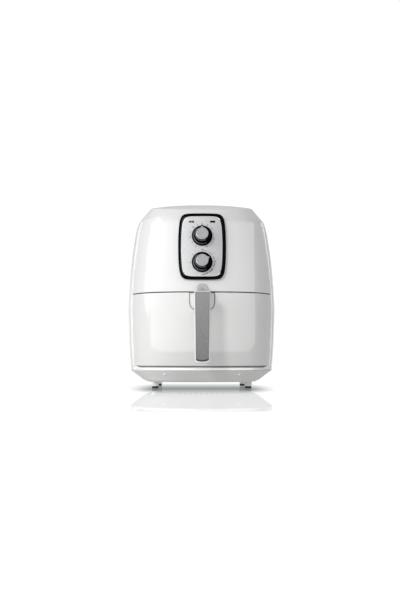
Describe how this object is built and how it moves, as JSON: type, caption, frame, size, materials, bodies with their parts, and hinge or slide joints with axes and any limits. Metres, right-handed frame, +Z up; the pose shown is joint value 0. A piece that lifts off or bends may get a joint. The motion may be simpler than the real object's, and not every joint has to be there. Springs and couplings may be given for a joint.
{
  "type": "air fryer",
  "caption": "Drawer-type hot-air fryer with an egg-shaped white body, a black-rimmed panel with two knobs, and a pull-out pan and basket with a front handle.",
  "frame": {"origin": "bottom centre of the closed appliance's bounding box, on the surface it stands on", "axes": "+Z up, front panel and handle towards -Y, +X to the right of someone facing the front"},
  "size_m": [0.3026, 0.388, 0.372],
  "materials": {
    "gloss_shell": "glossy moulded polypropylene, near white",
    "satin_white": "satin moulded plastic, near white",
    "base_plastic": "fine-textured light grey plastic",
    "rubber_pad": "black silicone rubber",
    "steel_screw": "zinc-plated steel",
    "zinc_sheet": "galvanised sheet steel",
    "heater_tube": "heat-darkened stainless sheath",
    "guard_wire": "plated steel wire",
    "fan_aluminium": "pressed aluminium",
    "motor_iron": "varnished laminated iron",
    "black_moulding": "black moulded plastic",
    "bezel_gloss": "piano-black moulded plastic",
    "brushed_plate": "brushed stainless face, grain across",
    "cap_metal": "satin anodised cap",
    "lamp_lens": "dark tinted lens",
    "circuit_board": "glass-epoxy board",
    "grey_moulding": "grey moulded plastic with a fine brushed grain",
    "thermostat_case": "stamped steel case",
    "copper_tube": "copper capillary and bulb",
    "ceramic_block": "unglazed ceramic",
    "nonstick": "dark non-stick coating on steel",
    "smoky_guard": "smoky translucent plastic"
  },
  "bodies": {
    "housing": {"housing_shell": "gloss_shell", "front_shell": "gloss_shell", "top_cover": "gloss_shell", "base_skirt": "base_plastic", "bottom_plate": "base_plastic", "front_trim": "gloss_shell", "foot_stems": "satin_white", "rubber_feet": "rubber_pad", "base_plugs": "satin_white", "base_screws": "steel_screw", "cavity_liner": "zinc_sheet", "drawer_rails": "zinc_sheet", "air_shroud": "zinc_sheet", "exhaust_duct": "zinc_sheet", "heating_element": "heater_tube", "heater_clips": "zinc_sheet", "heater_guard": "guard_wire", "fan_motor": "motor_iron", "motor_bracket": "zinc_sheet", "motor_screws": "steel_screw", "panel_bezel": "bezel_gloss", "panel_plate": "brushed_plate", "panel_carrier": "black_moulding", "power_lamp": "lamp_lens", "heat_lamp": "lamp_lens", "lamp_board": "circuit_board", "timer_unit": "grey_moulding", "timer_bell": "steel_screw", "thermostat_unit": "thermostat_case", "thermostat_bulb": "copper_tube", "interlock_switch": "black_moulding", "terminal_block": "ceramic_block", "rear_vent_grille": "base_plastic", "rear_spacers": "base_plastic", "rear_screws": "steel_screw", "cord_inlet_bush": "rubber_pad"},
    "fan": {"convection_fan": "fan_aluminium", "motor_shaft": "steel_screw", "cooling_fan": "black_moulding"},
    "timer_dial": {"timer_shaft": "steel_screw", "timer_knob": "bezel_gloss", "timer_knob_cap": "cap_metal"},
    "temp_dial": {"thermostat_shaft": "steel_screw", "temp_knob": "bezel_gloss", "temp_knob_cap": "cap_metal"},
    "drawer": {"drawer_front": "gloss_shell", "drawer_inner_frame": "base_plastic", "pan": "nonstick", "basket": "nonstick", "basket_bumpers": "rubber_pad", "basket_bracket": "zinc_sheet", "handle_base": "satin_white", "handle_grip": "satin_white", "handle_back": "satin_white", "handle_insert": "grey_moulding", "handle_screws": "steel_screw", "release_spring": "steel_screw"},
    "button": {"release_button": "grey_moulding"},
    "guard": {"button_guard": "smoky_guard"},
    "plunger": {"interlock_plunger": "satin_white"}
  },
  "joints": [
    {"name": "drawer_slide", "type": "slide", "parent": "housing", "child": "drawer", "axis": [0, -1, 0], "range_m": [0, 0.27]},
    {"name": "fan_spin", "type": "hinge", "parent": "housing", "child": "fan", "pos_m": [0, 0.007, 0.26], "axis": [0, 0, 1], "continuous": true},
    {"name": "timer_turn", "type": "hinge", "parent": "housing", "child": "timer_dial", "pos_m": [0, -0.13932, 0.29683], "axis": [0, 0.9932, -0.1167], "range_deg": [0, 315]},
    {"name": "temp_turn", "type": "hinge", "parent": "housing", "child": "temp_dial", "pos_m": [0, -0.14539, 0.24519], "axis": [0, 0.9932, -0.1167], "range_deg": [-67, 113]},
    {"name": "button_press", "type": "slide", "parent": "drawer", "child": "button", "axis": [0, 0, -1], "range_m": [0, 0.003], "stiffness_N_per_m": 400, "springref_m": -0.002, "deforming": ["release_spring"]},
    {"name": "guard_slide", "type": "slide", "parent": "drawer", "child": "guard", "axis": [0, -1, 0], "range_m": [0, 0.016]},
    {"name": "plunger_slide", "type": "slide", "parent": "housing", "child": "plunger", "axis": [0, -1, 0], "range_m": [0, 0.003]}
  ],
  "couplings": [
    {"joint": "plunger_slide", "follows": "drawer_slide", "ratio": 0.011}
  ]
}
